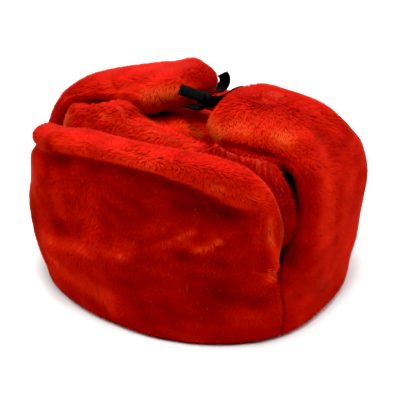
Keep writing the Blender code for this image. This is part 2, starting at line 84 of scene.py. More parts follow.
# Crown profile: share of the plan radius, height
CROWN_PROFILE = {
    "share": (1, 1, 0.99, 0.975, 0.93, 0.85, 0.72, 0.50, 0.25, 0),
    "height": (0, 42, 70, 92, 107, 116, 122, 126, 127, 127),
}

# Where the crown's upper part is pushed out or in: towards angle, over spread degrees, by a
# share of the plan radius, from the height start on
CROWN_LOBES = {
    "angle": (-52, -71, 70, 0, 180, -118),
    "spread": (18, 8.5, 9.5, 30, 60, 28),
    "push": (0.015, 0.14, 0.205, -0.03, -0.01, -0.09),
    "start": (60, 60, 45, 60, 60, 60),
}
LOBE_RISE = 50.0  # height over which they come in
LOBE_POLE = 0.4  # share of the plan radius inside which they fade

# Folds and dents of the crown's soft top: a line on the plan from (x, y) to (to_x, to_y),
# the half-width of the fold and how far it rises
CROWN_FOLDS = {
    "x": (-87, -45, 58, -50, 28, -20, 0, -78),
    "y": (-38, -51, -50, -44, -18, -14, 70, 5),
    "to_x": (-34, 40, 92, -22, 74, 12, 0, -50),
    "to_y": (-43, -51, -43, -46, -14, -20, 80, 60),
    "half_width": (12.5, 13.5, 10, 5, 15, 14, 45, 26),
    "rise": (14.5, 14, 20, -5, -19, 7, -17, -16),
}
FOLDS_FROM = (70.0, 45.0)  # height where they start, and over which they come in
INNER_TOP = 90.0  # height where the inner face is a whole wall lower

# Sections of an ear flap with its half of the neck flap. Each stands on the rim at angle and
# leans along heading, or along fold_heading from the crest on. out is measured from the foot.
EAR_SECTIONS = {
    "angle": (SEAM_ANGLE, 80, 90, 102, 112, 122, 134, 150, 180),
    "heading": (SEAM_HEADING, 80, 89, 94, 101, 111, 126, 149, 180),
    "fold_heading": (89, 89, 89, 91, 95, 105, 124, 149, 180),
    "sewn_out": (SEAM_OUT, 6, 6, 7, 7, 7, 6, 5, 5),
    "belly_out": (7, 8, 8, 9, 10, 10, 9.5, 9, 9),
    "belly_height": (64, 66, 66, 66, 64, 61, 58, 57, 56),
    "shoulder_out": (5, 5, 6, 9, 12, 13, 12, 10.5, 10.5),
    "shoulder_height": (94, 98, 99, 99, 96, 89, 80, 75, 73),
    "left_crest_out": (-8, -12, -12, -7, 2, 8, 9, 8, 8),
    "left_crest_height": (126, 129, 128, 128, 123, 110, 96, 89, 87),
    "left_inner_out": (-36, -40, -40, -34, -16, -2, 4, 4, 3),
    "left_inner_height": (129, 143, 151, 148, 138, 119, 104, 97, 95),
    "left_tip_out": (-76, -81, -78, -56, -31, -11, -2, -3, -4),
    "left_tip_height": (131, 142, 148, 147, 142, 126, 110, 103, 101),
    "right_crest_out": (-7, -10, -11, -11, -6, 1, 7, 8, 8),
    "right_crest_height": (125, 126, 124, 119, 113, 104, 94, 89, 87),
    "right_inner_out": (-52, -56, -58, -54, -36, -14, 0, 4, 3),
    "right_inner_height": (142, 143, 141, 137, 127, 114, 102, 97, 95),
    "right_tip_out": (-106, -116, -119, -96, -62, -28, -6, -3, -4),
    "right_tip_height": (152, 156, 160, 159, 143, 123, 109, 103, 101),
}
# How far the front edge of each flap slants back at each level, fading over some degrees
EAR_SLANT = {
    "left": {"belly": 2, "shoulder": 17, "crest": 20, "inner": 9, "tip": 2},
    "right": {"belly": -3, "shoulder": 2, "crest": 7, "inner": 10, "tip": 8},
}
EAR_SLANT_FADE = 40.0
EAR_TIP_CORNER = 24.0

# The fold of an ear flap is thicker, and its front edge rounder, from a share of its length on
# and up to an angle, each with the stretch that the change takes
EAR_PUFF = 4.0
EAR_FRONT_ROUND = 13.0
EAR_PUFF_FROM = (0.55, 0.2)
EAR_PUFF_TO = (92.0, 22.0)

# Sections of the visor, the same way, from the wearer's right end to the left one, with the
# width of its roll down from the edge and the depth of the groove under it
VISOR_SECTIONS = {
    "angle": (-SEAM_ANGLE, -60, -48, -32, -16, 0, 16, 32, 48, 60, SEAM_ANGLE),
    "heading": (-SEAM_HEADING, -61, -46, -28, -13, 0, 13, 28, 46, 61, SEAM_HEADING),
    "sewn_out": (SEAM_OUT, 8, 9, 8, 6, 6, 6, 7, 7, 6, SEAM_OUT),
    "belly_out": (6, 10, 11, 9, 7, 7, 7, 8, 9, 8, 6),
    "belly_height": (62, 64, 64, 66, 66, 66, 66, 66, 65, 64, 62),
    "shoulder_out": (7, 9, 9, 9, 7, 6, 6, 7, 8, 8, 6),
    "shoulder_height": (71, 76, 82, 89, 94, 95, 95, 94, 89, 83, 77),
    "brow_out": (5, 8, 8, 5, 3, 2, 2, 3, 5, 7, 6),
    "brow_height": (80, 90, 102, 114, 122, 124, 124, 122, 114, 103, 92),
    "tip_out": (-8, -9, -9, -6, -4, -4, -4, -4, -5, -6, -3),
    "tip_height": (100, 109, 119.5, 131, 142, 145, 146, 146, 141, 131, 117),
    "roll_width": (16, 18, 20, 21, 19.5, 16.5, 15.5, 19.5, 27.5, 29.5, 24),
    "groove": (0, 0, 1, 5, 5, 4.5, 4.5, 5, 6, 6, 1),
}
VISOR_SLANT = {"belly": 8, "shoulder": 9, "brow": 8, "tip": 6}
VISOR_SLANT_FADE = 34.0
VISOR_CORNER = 20.0
VISOR_ROLL = 8.0  # how much the visor's rolled edge is thicker
VISOR_ROLL_INWARD = 0.25  # share of it that each side gains, and the outer one gains the rest
VISOR_ROLL_STEP = 6.0  # width over which the roll comes to its full thickness
VISOR_ROLL_FADE = 0.4  # share that it loses towards the wearer's right end
VISOR_ROLL_THIN = (45.0, 20.0)  # degrees on that side where this starts, and over which
VISOR_ROLL_FREE = 30.0  # height over which the roll comes in above the sewn ends
VISOR_ROLL_SIDE = 1.5  # times that a length from the visor's ends counts for the roll
VISOR_SEWN_SIDE = 200.0  # added to that where the ends are sewn, so there is no roll
VISOR_GROOVE_HALF_WIDTH = 5.0
# The groove comes in by the length from the ends less that from the top: start and stretch
VISOR_GROOVE_FROM = (-10.0, 20.0)

# Creases and dents on the outer face of a flap: a line from one angle and length up the flap
# to another, the half-width of the crease and how far it rises
CREASE_REACH = 110.0  # plan radius at which an angle is counted as a length along the flap
CREASE_THIN = 0.3  # share of a flap's half-thickness at which they are gone
VISOR_CREASES = {
    "angle": (-26, -3, 13, 26, 42, 42, -44, -26, 4),
    "up": (46, 68, 74, 92, 90, 52, 30, 78, 30),
    "to_angle": (-3, 13, 26, 38, 50, 60, -30, 4, 24),
    "to_up": (68, 74, 92, 102, 96, 47, 24, 92, 40),
    "half_width": (7.5, 7.5, 7.5, 7.5, 7.5, 12, 12, 15, 14),
    "rise": (5, 4.5, 5.5, 5, 4.5, -3, 2.5, -2, -1.5),
}
EAR_CREASES = {
    "angle": (80, 100, 120),
    "up": (150, 40, 60),
    "to_angle": (92, 104, 124),
    "to_up": (190, 100, 100),
    "half_width": (13, 15, 15),
    "rise": (2, -2, -2),
}

# The black cotton tapes: points along the middle of each, and the way its width goes there
TAPE_WIDTH = 8.0
TAPE_THICKNESS = 1.1
TAPE_CROWN = 0.5  # its middle stands this much above its edges
TAPE_PROFILE = {  # half of its section, and the other half is the opposite
    "x": (1, 0.94, 0.5, 0, -0.5, -0.94),
    "y": (0, 0.85, 1, 1, 1, 0.85),
}
CORNERS = 12  # of a tape's section
TAPE_THREADS = 18  # round a tape's section, which is about 17 mm round
SIDE_TAIL = {
    "x": (24.4, 19.3, 13.7, 8.1),
    "y": (-22.5, -25.5, -28, -30.2),
    "z": (158, 159.8, 161.4, 162.9),
    "across_x": (0.3, 0.3, 0.28, 0.28),
    "across_y": (-0.4, -0.4, -0.36, -0.36),
    "across_z": (-0.87, -0.87, -0.89, -0.89),
}
UPRIGHT_TAIL = {
    "x": (22.9, 26.5, 29, 29.2, 28),
    "y": (-12.4, -8.5, -5.5, -4.8, -5.8),
    "z": (157.6, 160.2, 164.2, 168.5, 172),
    "across_x": (0.7, 0.8, 0.79, 0.79, 0.75),
    "across_y": (-0.3, 0.2, 0.62, 0.62, 0.65),
    "across_z": (0.6, 0.3, 0, 0, 0.1),
}
# From the left flap through the knot to the right flap
TIES = {
    "x": (34, 31.5, 28.5, 26.2, 25, 24.1, 19.6, 18, 13, 4),
    "y": (11, 7.5, 4, -0.5, -6.5, -12.4, -17, -16.6, -16, -15.5),
    "z": (155.2, 154.6, 152.6, 150.2, 149.8, 151.6, 148.5, 145.8, 144.5, 144.4),
    "across_x": (0.1, 0.1, 0.2, 0.1, -0.1, 0, 0, 0.1, 0.1, 0.1),
    "across_y": (0, -0.1, -0.2, -0.1, 0, 0, 1, 1, 1, 1),
    "across_z": (1, 1, 1, 1, 1, 1, 0, 0, 0, 0),
}
# The loose threads at a cut end
FRAY_THREADS = 26
FRAY_LENGTH = (0.8, 2.2)
FRAY_WIDTH = 0.4
# The knot and its turns of tape: axis, radius, shift along the axis
KNOT_CENTRE = (20.5, -17.5, 154.5)
KNOT_RADII = (6.0, 6.4, 5.6)
KNOT_TURNS = (
    ((0.9, -0.3, 0.3), 4.4, 0.0),
    ((0.2, 0.9, 0.5), 4.9, 0.3),
    ((-0.4, 0.3, 0.9), 5.2, -0.2),
)
KNOT_STEPS = 44
KNOT_TAPE = (3.1, 0.8)  # half-width and half-thickness of the squeezed tape
KNOT_SAG = 0.05
KNOT_THREADS = 14

# Mesh fineness: stretches along and up a flap, round and over one face of the crown
EAR_GRID = (110, 58)
VISOR_GRID = (132, 46)
CROWN_GRID = (150, 64)
LINE_STEPS = 161
NORMAL_PASSES = 30

# Strokes of painted highlight and painted shade in the pile's tone, partly also where the pile
# lies another way: a line from (x, y, z) to (x, y, z), the half-width of the stroke and the
# change of tone
PILE_LAY_AND_PAINTED_LIGHT = (
    # painted highlight along the visor's crease, and painted shade beside and below it
    (-60, -104, 52, -3, -122, 67, 5, 0.35),
    (-45, -109, 68, 10, -118, 80, 9, -0.2),
    (-3, -122, 67, 27, -121, 73, 5, 0.3),
    (27, -121, 73, 54, -115, 87, 3.5, 0.6),
    (54, -115, 87, 75, -101, 101, 3.5, 0.65),
    (57, -113, 84, 72, -104, 92, 6, 0.3),
    (80, -98, 106, 84, -96, 102, 5, 0.4),
    (77, -101, 85, 90, -93, 94, 3.5, 0.6),
    (20, -112, 111, 71, -99, 111, 20, -0.2),
    (68, -102, 79, 89, -90, 77, 7, -0.35),
    (21, -114, 51, 94, -85, 59, 16, -0.25),
    (43, -107, 36, 92, -82, 34, 14, -0.15),
    (86, -89, 49, 107, -65, 40, 8, -0.35),
    (-6, -113, 110, -3, -115, 85, 9, 0.2),
    # painted shade down the visor's end at the wearer's right, painted light on its lower corner
    # and down its other end
    (-58, -99, 116, -20, -111, 131, 8, -0.35),
    (-52, -106, 112, -52, -107, 80, 9, -0.15),
    (-49, -108, 33, 6, -110, 23, 9, 0.35),
    (117, -70, 108, 112, -63, 60, 5, 0.5),
    # painted highlight on the roll and painted shade on part of its top, and painted shadow in
    # the pocket under its right end
    (-40, -108, 138, 51, -106, 143, 7, 0.35),
    (51, -106, 143, 90, -88, 132, 8, 0.3),
    (90, -88, 132, 111, -72, 120, 8, 0.35),
    (-30, -104, 146, 0, -106, 147, 8, -0.2),
    (60, -100, 117, 109, -75, 108, 4, -0.5),
    # painted light on the left ear flap's fold and side, painted shade on its top, along the
    # lower edge of its fold, down its seam and on its lower corner
    (46, -31, 146, 88, -20, 149, 15, 0.5),
    (38, -30, 150, 46, -36, 137, 9, 0.6),
    (44, -2, 163, 68, -1, 165, 10, -0.35),
    (52, -34, 140, 66, -32, 142, 9, 0.3),
    (47, -37, 133, 88, -30, 134, 4, -0.5),
    (96, -26, 128, 112, -30, 100, 5, -0.5),
    (112, -30, 100, 117, -42, 66, 6, -0.5),
    (116, -2, 126, 126, -13, 104, 9, 0.25),
    (126, -13, 104, 127, -18, 73, 9, 0.25),
    (126, -27, 67, 121, -6, 25, 12, -0.2),
    # painted light on the right ear flap's fold and side, painted shade on its top
    (-45, -31, 140, -8, -28, 148, 10, 0.6),
    (-58, -29, 150, -25, -30, 154, 8, 0.3),
    (-22, -31, 150, -2, -23, 157, 10, 0.55),
    (-20, -4, 165, 4, -1, 168, 12, -0.2),
    (-121, -7, 110, -118, -8, 125, 10, 0.3),
    # painted highlights on the crown's ridges and its end, painted shadow in its hollow, beside
    # its bulge and under the left ear flap's edge
    (-94, -40, 112, -89, -42, 121, 9, 0.6),
    (-44, -55, 139, 0, -55, 137, 5, 0.45),
    (0, -55, 137, 38, -55, 136, 6, 0.45),
    (-30, -40, 133, 0, -30, 131, 8, 0.5),
    (2, -25, 130, 16, -14, 126, 9, 0.65),
    (-14, -16, 134, -4, -10, 131, 8, -0.6),
    (-8, 0, 130, -2, 12, 124, 16, -0.6),
    (105, -40, 114, 112, -42, 84, 9, -0.4),
    (50, -50, 138, 90, -38, 135, 6, -0.4),
)

# Where a pad is fuller or flatter under the pile, in the same columns, with the change in mm
PILE_PUFFS = (
    # the crown's ends, the foot of the right ear flap's fold, the roll's tip, the visor's crease
    (96, -44, 126, 112, -43, 86, 13, 6),
    (-93, -40, 108, -89, -40, 124, 9, 4),
    (-40, -31, 143, -20, -30, 145, 9, 6.5),
    (-65, -95, 138, -62, -97, 137, 8, -2),
    (-3, -122, 67, 54, -115, 87, 3, 1.2),
    (54, -115, 87, 75, -101, 101, 3, 1.5),
    (77, -101, 85, 90, -93, 94, 3, 1.2),
    # along the sewn ends, where the sheets of fabric meet
    (113, -60, 56, 109, -65, 6, 5, 2),
    (-113, -60, 56, -109, -65, 6, 5, 2),
    (0, 118, 4, 0, 112, 100, 6, 1.9),
    (0, 98, 2, 0, 97, 106, 15, 1.95),
    # under the edge of the left ear flap's fold, and the top of its front corner
    (50, -47, 138, 90, -36, 135, 6, -2.5),
    (50, -1, 164, 66, -1, 165, 8, -5),
    (66, -12, 162, 92, -4, 160, 14, -3),
)

# The pile. Real strands, about 0.05 mm thick, are too fine to show in the render, so they are
# drawn as coarse as they need to be to show.
PILE_DEPTH = 2.0  # how far the pads are drawn in under it
STRAND_LENGTH = (4.048, 4.752)  # least and most
STRAND_WIDTH = (0.75, 1.2)
STRAND_LEAN = 1.02  # radians from upright
STRAND_ROOT = 0.4  # how deep it starts in its pad
STRAND_SHADING = (0.15, 0.99)  # as a round strand and as a part of its pad
BRUSHED = (0.0, 0.35, -1.0)  # the way the pile lies: down and a little back
RIM_CLEARANCE = 0.3  # height that no strand's tip falls below
# How lean, swirl and tone drift: amount, length of the waves in mm, seed; and their scatter
LEAN_DRIFT = ((0.1, 26.0, 3),)
SWIRL_DRIFT = ((0.7, 34.0, 1), (0.2, 14.0, 2))
TONE_DRIFT = ((0.1, 38.0, 6), (0.1, 15.0, 4))
LEAN_SCATTER = 0.03
SWIRL_SCATTER = 0.07
TONE_SCATTER = 0.025
TONE_MIDDLE = 0.43
TONE_ENDS = (0.01, 0.99)
RIPPLE_WAVES = 12
RIM_SHARE = 0.4  # of the full pile, on the strip that the hat stands on
BARE_SEAM = SEWN_HEIGHT + 4.0  # no pile below this where the flaps are sewn to each other
# Each pad: how full of wadding it is, the number of its strands, the height above which the
# crown or a flap's inner face has them, and the seed of their draws
PADS = {
    "crown": (0.3, 45000, 40.0, 11),
    "front_visor": (0.6, 62000, 95.0, 12),
    "left_ear_flap": (0.6, 62000, 90.0, 13),
    "right_ear_flap": (0.6, 62000, 90.0, 14),
}

# The studio: each softbox's place in metres and power, and the print's black
SOFTBOX_SIZE = 0.8
SOFTBOXES = {
    "overhead": ((0.0, 0.0, 1.42), 22.0),
    "above the camera": ((0.4, -0.4, 1.29), 15.4),
    "high left": ((-0.73, -0.73, 0.94), 11.5),
    "low right": ((0.92, 0.92, 0.42), 12.0),
    "low behind": ((-0.92, 0.92, 0.42), 5.4),
}
HAT_MIDDLE = (0, 0, 0.07)
FLOOR_HALF = 6000.0
BLACK_LEVEL = 0.006


def plan_radius(angle, out):
    """Distance from the centre, at angles in degrees, to a superellipse that lies out from the
    head opening's."""
    a = np.radians(angle)
    power = OPENING_SQUARENESS
    wide = np.abs(np.sin(a) / (OPENING_HALF_WIDTH + out)) ** power
    deep = np.abs(np.cos(a) / (OPENING_HALF_LENGTH + out)) ** power
    turn = ((angle - OPENING_PUSH_ANGLE + 180) % 360 - 180) / OPENING_PUSH_SPREAD
    return (wide + deep) ** (-1 / power) * (1 + OPENING_PUSH * np.exp(-(turn**2)))


def heading_vector(angle):
    """(sin a, -cos a, 0): outwards at an angle."""
    a = np.radians(angle)
    return np.stack([np.sin(a), -np.cos(a), np.zeros_like(a)], -1)


def side_vector(angle):
    """(cos a, sin a, 0): along the hat at an angle, towards higher angles."""
    return heading_vector(angle + 90)


def unit(vectors):
    """v / |v|."""
    return vectors / np.maximum(np.linalg.norm(vectors, axis=-1, keepdims=True), 1e-9)


def smooth_through(keys, rows, at, slope=None):
    """A cubic Hermite curve through rows at keys, read at the places given."""
    keys = np.asarray(keys, float)
    rows = np.asarray(rows, float)
    if slope is None:
        slope = np.gradient(rows, keys, axis=0)
    i = np.clip(np.searchsorted(keys, at, side="right") - 1, 0, len(keys) - 2)
    span = keys[i + 1] - keys[i]
    t = (at - keys[i]) / span
    shape = (-1,) + (1,) * (rows.ndim - 1)
    t = t.reshape(shape)
    span = span.reshape(shape)
    return (
        (2 * t**3 - 3 * t**2 + 1) * rows[i]
        + (t**3 - 2 * t**2 + t) * span * slope[i]
        + (3 * t**2 - 2 * t**3) * rows[i + 1]
        + (t**3 - t**2) * span * slope[i + 1]
    )


def level_slopes(line):
    """Slopes up a flap's levels: the harmonic mean of the steps, or 0 where they turn back. At
    the sewn level it is the step below, so that pieces share their line along a seam."""
    step = np.diff(line, axis=0)
    product = step[:-1] * step[1:]
    total = np.where(product > 0, step[:-1] + step[1:], 1)
    mean = np.where(product > 0, 2 * product / total, 0)
    slope = np.concatenate([step[:1], mean, step[-1:]])
    slope[SEWN_LEVEL] = step[SEWN_LEVEL - 1]
    return slope


def ramp(x, start, stretch):
    """3t^2 - 2t^3 with t = (x - start) / stretch, held to 0 and 1 outside."""
    t = np.clip((x - start) / stretch, 0, 1)
    return t * t * (3 - 2 * t)


def dense_ends(count, strength=0.75):
    """count + 1 places from 0 to 1: x - s sin(2 pi x) / (2 pi), closer together at both ends."""
    x = np.linspace(0, 1, count + 1)
    return x - strength * np.sin(2 * np.pi * x) / (2 * np.pi)


def foot_radius(angle):
    """Plan radius of a flap's middle surface at the rim."""
    return plan_radius(angle, CROWN_WALL + SEWN_GAP + FLAP_HALF_THICKNESS)


def half_seam(angle):
    """Half the gap at a seam as an angle: degrees of gap / 2 / radius."""
    return np.degrees(SEAM_GAP / 2 / foot_radius(angle))


def flap_middle(sections, levels, angles, rise, slant):
    """The middle surface of a flap: for each angle, a smooth line up through its levels, read
    at equal shares of its length. rise has one row for each column of angles."""
    keys = sections["angle"]
    column = {name: smooth_through(keys, sections[name], angles) for name in sections}
    foot = heading_vector(angles) * foot_radius(angles)[:, None]
    straight = heading_vector(column["heading"])
    folded = heading_vector(column.get("fold_heading", column["heading"]))
    sideways = side_vector(column["heading"])
    up = np.array([0.0, 0.0, 1.0])
    column["sewn_height"] = np.full(len(angles), SEWN_HEIGHT)
    # half way up to the sewn level it leans out less than half as far
    line = [foot, foot + straight * column["sewn_out"][:, None] * 0.3 + up * SEWN_HEIGHT * 0.5]
    for level, back in zip(("sewn", *levels), slant):
        out = column[level + "_out"][:, None]
        height = column[level + "_height"][:, None]
        lean = straight if level in ("sewn", "belly", "shoulder") else folded
        line.append(foot + lean * out + sideways * back[:, None] + up * height)
    line = np.stack(line)
    places = np.arange(len(line))
    steps = np.linspace(0, len(line) - 1, LINE_STEPS)
    fine = smooth_through(places, line, steps, level_slopes(line))
    step = np.linalg.norm(np.diff(fine, axis=0), axis=-1)
    run = np.concatenate([np.zeros((1, len(angles))), np.cumsum(step, axis=0)])
    length = run[-1]
    points = np.empty(rise.shape + (3,))
    for c in range(len(angles)):
        for axis in range(3):
            points[c, :, axis] = np.interp(rise[c] * length[c], run[:, c], fine[:, c, axis])
    return points, length


def fitted_middle(sections, levels, angles, rows, slant, from_end, corner):
    """A flap's middle surface, its top corners rounded by shortening its lines. Also gives each
    point's share of the way up, its length down from the top and its length up from the rim."""
    rise = np.tile(dense_ends(rows), (len(angles), 1))
    length = flap_middle(sections, levels, angles, rise, slant)[1]
    shorter = corner * (1 - round_edge(from_end, corner, 0))
    rise = rise * (1 - shorter / length)[:, None]
    middle, length = flap_middle(sections, levels, angles, rise, slant)
    from_top = (rise.max(axis=1, keepdims=True) - rise) * length[:, None]
    return middle, rise, from_top, rise * length[:, None]


def round_edge(distance, radius, start):
    """A quarter circle: sqrt(1 - (1 - x)^2) with x = (distance + start) / radius."""
    x = np.clip((distance + start) / radius, 0, 1)
    return np.sqrt(1 - (1 - x) ** 2)


def edge_taper(from_ends, from_top, from_rim, height, end_radius=EDGE_RADIUS):
    """Share of the full half-thickness over a flap: the product of the quarter circles at its
    ends, its top and its rim. Sewn ends stay full."""
    sewn = EDGE_RADIUS * (1 - ramp(height, SEWN_HEIGHT, SEWN_FADE))
    ends = round_edge(from_ends, end_radius, np.maximum(EDGE_START, sewn))
    top = round_edge(from_top, EDGE_RADIUS, EDGE_START)
    rim = round_edge(from_rim, EDGE_RADIUS, RIM_START)
    return ends * top * rim


def stroke(points, start, end, half_width):
    """A soft line: exp(-(gap / half-width)^2), with gap the distance to the line from start to
    end, which is |p - start - t (end - start)| with t held to 0 and 1."""
    start = np.array(start, float)
    run = np.array(end) - start
    t = np.clip((points - start) @ run / (run @ run), 0, 1)[..., None]
    gap = np.linalg.norm(points - start - t * run, axis=-1)
    return np.exp(-((gap / half_width) ** 2))


def folds(points, table, scale=(1, 1)):
    """How far a table of folds or creases lifts a face: the sum of rise times each soft line.
    scale is what a step of each coordinate counts for in millimetres."""
    lift = np.zeros(points.shape[:-1])
    for x, y, to_x, to_y, half_width, rise in zip(*table.values()):
        start, end = np.array([[x, y], [to_x, to_y]]) * scale
        lift = lift + rise * stroke(points * scale, start, end, half_width)
    return lift


def crease_swell(creases, angles, up, half):
    """How far the creases lift a flap's outer face, less where it is thin."""
    points = np.stack([angles[:, None] + 0 * up, up], -1)
    lift = folds(points, creases, (np.radians(CREASE_REACH), 1))
    return lift * ramp(half / FLAP_HALF_THICKNESS, CREASE_THIN, 1)


def evened(normal):
    """Unit normals averaged with their neighbours along both axes, pass after pass."""
    for _ in range(NORMAL_PASSES):
        around = normal.copy()
        around[1:-1] = normal[:-2] + 2 * normal[1:-1] + normal[2:]
        around[:, 1:-1] = around[:, :-2] + 2 * around[:, 1:-1] + around[:, 2:]
        normal = unit(around)
    return normal


def flap_loops(middle, half, swell, ends):
    """Both faces of a flap as one grid, columns by a closed loop round each section.

    A loop goes up the outer face at middle + (half + swell) n, over the edge on a low arc and
    down the inner face at middle - half n. Extra columns at both ends close it on an arc too,
    which is flat where the flap is sewn to the next piece.
    """
    along = np.gradient(middle, axis=0)
    along[0] = ends[0]
    along[-1] = ends[1]
    normal = unit(np.cross(along, np.gradient(middle, axis=1)))
    normal[1:-1] = evened(normal)[1:-1]
    free = ramp(middle[..., 2], SEWN_HEIGHT, SEWN_FADE)
    columns = [(middle, normal, half, swell)]
    for arc in np.radians([30, 60, 90]):
        for end, way in ((slice(0, 1), -1), (slice(-1, None), 1)):
            reach = END_BULGE * half[end] * free[end] * np.sin(arc)
            closing = middle[end] + way * unit(along[end]) * reach[..., None]
            column = (closing, normal[end], half[end] * np.cos(arc), 0 * swell[end])
            columns.insert(0 if way < 0 else len(columns), column)
    middle, normal, half, swell = (np.concatenate(group) for group in zip(*columns))
    outer = middle + normal * (half + swell)[..., None]
    inner = middle - normal * half[..., None]
    edge = unit(middle[:, -1] - middle[:, -2]) * (EDGE_BULGE * half[:, -1:])
    across = inner[:, -1] - outer[:, -1]
    over = np.stack([outer[:, -1] + across * share + edge for share in (0.28, 0.72)], 1)
    loops = np.concatenate([outer, over, inner[:, ::-1]], axis=1)
    loops[..., 2] = np.maximum(loops[..., 2], 0)
    return loops


def loop_normals(loops, ring):
    """Outward unit normals of a grid of closed loops: the step along it crossed with the step
    round it. In a ring the columns go right round."""
    if ring:
        along = np.roll(loops, -1, axis=0) - np.roll(loops, 1, axis=0)
    else:
        along = np.gradient(loops, axis=0)
    around = np.roll(loops, -1, axis=1) - np.roll(loops, 1, axis=1)
    return unit(np.cross(along, around))


def ear_flap_loops(side):
    """An ear flap with its half of the neck flap: its middle surface with a face at the
    half-thickness on each side. The right one is worked out on the left and mirrored."""
    hand = "left" if side > 0 else "right"
    columns, rows = EAR_GRID
    first = SEAM_ANGLE + half_seam(SEAM_ANGLE)
    last = 180.0 - half_seam(180.0)
    angles = first + (last - first) * dense_ends(columns, strength=0.6)
    fade = 1 - ramp(angles, first, EAR_SLANT_FADE)
    slant = [amount * fade for amount in (-SEAM_SLANT, *EAR_SLANT[hand].values())]
    levels = ("belly", "shoulder", hand + "_crest", hand + "_inner", hand + "_tip")
    from_front = np.radians(angles - first) * foot_radius(angles)
    middle, rise, from_top, from_rim = fitted_middle(
        EAR_SECTIONS, levels, angles, rows, slant, from_front, EAR_TIP_CORNER
    )
    puff = ramp(rise, *EAR_PUFF_FROM)
    puff = puff * (1 - ramp(angles, *EAR_PUFF_TO))[:, None]
    front_radius = EDGE_RADIUS + EAR_FRONT_ROUND * puff
    taper = edge_taper(from_front[:, None], from_top, from_rim, middle[..., 2], front_radius)
    half = (FLAP_HALF_THICKNESS + EAR_PUFF * puff) * taper
    swell = crease_swell(EAR_CREASES, angles, from_rim, half)
    ends = side_vector(np.array([SEAM_HEADING, 180.0]))
    loops = flap_loops(middle, half, swell, ends)
    if side < 0:
        loops = loops[::-1] * np.array([-1, 1, 1])
    return loops


def visor_loops():
    """The turned-up visor: its middle surface with a face at the half-thickness on each side.
    The outer one has the roll too, which ends roll_width down from the edge, and loses
    deep exp(-(gap / half-width)^2) to the groove there."""
    columns, rows = VISOR_GRID
    last = SEAM_ANGLE - half_seam(SEAM_ANGLE)
    angles = last * (2 * dense_ends(columns, strength=0.5) - 1)
    fade = 1 - ramp(last - np.abs(angles), 0, VISOR_SLANT_FADE)
    slant = [-np.sign(angles) * amount * fade for amount in (SEAM_SLANT, *VISOR_SLANT.values())]
    from_end = np.radians(last - np.abs(angles)) * foot_radius(angles)
    middle, _, from_top, from_rim = fitted_middle(
        VISOR_SECTIONS, VISOR_SLANT, angles, rows, slant, from_end, VISOR_CORNER
    )
    taper = edge_taper(from_end[:, None], from_top, from_rim, middle[..., 2])
    free = ramp(middle[..., 2], SEWN_HEIGHT, VISOR_ROLL_FREE)
    width = smooth_through(VISOR_SECTIONS["angle"], VISOR_SECTIONS["roll_width"], angles)
    deep = smooth_through(VISOR_SECTIONS["angle"], VISOR_SECTIONS["groove"], angles)[:, None]
    side = from_end[:, None] * VISOR_ROLL_SIDE
    past_roll = np.minimum(from_top, side + VISOR_SEWN_SIDE * (1 - free)) - width[:, None]
    roll = 1 - ramp(past_roll, -VISOR_ROLL_STEP, VISOR_ROLL_STEP)
    fullness = 1 - VISOR_ROLL_FADE * ramp(-angles[:, None], *VISOR_ROLL_THIN)
    roll = VISOR_ROLL * fullness * roll
    half = (FLAP_HALF_THICKNESS + VISOR_ROLL_INWARD * roll) * taper
    swell = crease_swell(VISOR_CREASES, angles, from_rim, half)
    swell = swell + (1 - VISOR_ROLL_INWARD) * roll * taper
    groove = np.exp(-((past_roll / VISOR_GROOVE_HALF_WIDTH) ** 2))
    along_top = ramp(side - from_top, *VISOR_GROOVE_FROM)
    swell = swell - deep * along_top * taper * groove
    ends = side_vector(np.array([-SEAM_HEADING, SEAM_HEADING]))
    return flap_loops(middle, half, swell, ends)


def crown_lobes(angles, height):
    """How much of the plan radius the crown's upper part is pushed out by: for each lobe,
    push exp(-(turn / spread)^2), coming in over LOBE_RISE."""
    push = np.zeros((len(angles), len(height)))
    for angle, spread, amount, start in zip(*CROWN_LOBES.values()):
        turn = (angles - angle + 180) % 360 - 180
        near = np.exp(-((turn / spread) ** 2))[:, None]
        push = push + amount * near * ramp(height, start, LOBE_RISE)
    return push


def crown_face(inset):
    """One face of the crown, inset from its outer one: angles by profile rows, pole last. A
    point is out by share times the plan radius, at the profile's height plus the folds."""
    columns, rows = CROWN_GRID
    angles = np.linspace(0, 360, columns, endpoint=False)
    keys = np.arange(len(CROWN_PROFILE["share"]))
    places = np.linspace(0, keys[-1], rows)
    share = smooth_through(keys, CROWN_PROFILE["share"], places)
    height = smooth_through(keys, CROWN_PROFILE["height"], places)
    share = share * (1 + crown_lobes(angles, height) * np.clip(share / LOBE_POLE, 0, 1))
    radius = plan_radius(angles, CROWN_WALL - inset)[:, None] * share
    points = heading_vector(angles)[:, None] * radius[..., None]
    lift = folds(points[..., :2], CROWN_FOLDS) * ramp(height, *FOLDS_FROM)
    points[..., 2] = height - inset * ramp(height, 0, INNER_TOP) + lift
    return points


def crown_loops():
    """Both faces of the crown as one grid: up the outer face to the pole, down the inner one."""
    return np.concatenate([crown_face(0.0), crown_face(CROWN_WALL)[:, ::-1]], axis=1)


def ripple(points, wavelength, seed):
    """A smooth field of about -1 to 1: a fifth of the sum of 12 sine waves in random directions,
    each with a length near the one given."""
    rng = np.random.default_rng(seed)
    way = unit(rng.normal(size=(RIPPLE_WAVES, 3)))
    way = way * (2 * np.pi / (wavelength * rng.uniform(0.7, 1.4, (RIPPLE_WAVES, 1))))
    phase = rng.uniform(0, 2 * np.pi, RIPPLE_WAVES)
    return np.sin(points @ way.T + phase).sum(-1) / 5


def drift(points, table):
    """The sum of the table's ripples, each times its amount."""
    return sum(amount * ripple(points, wavelength, seed) for amount, wavelength, seed in table)


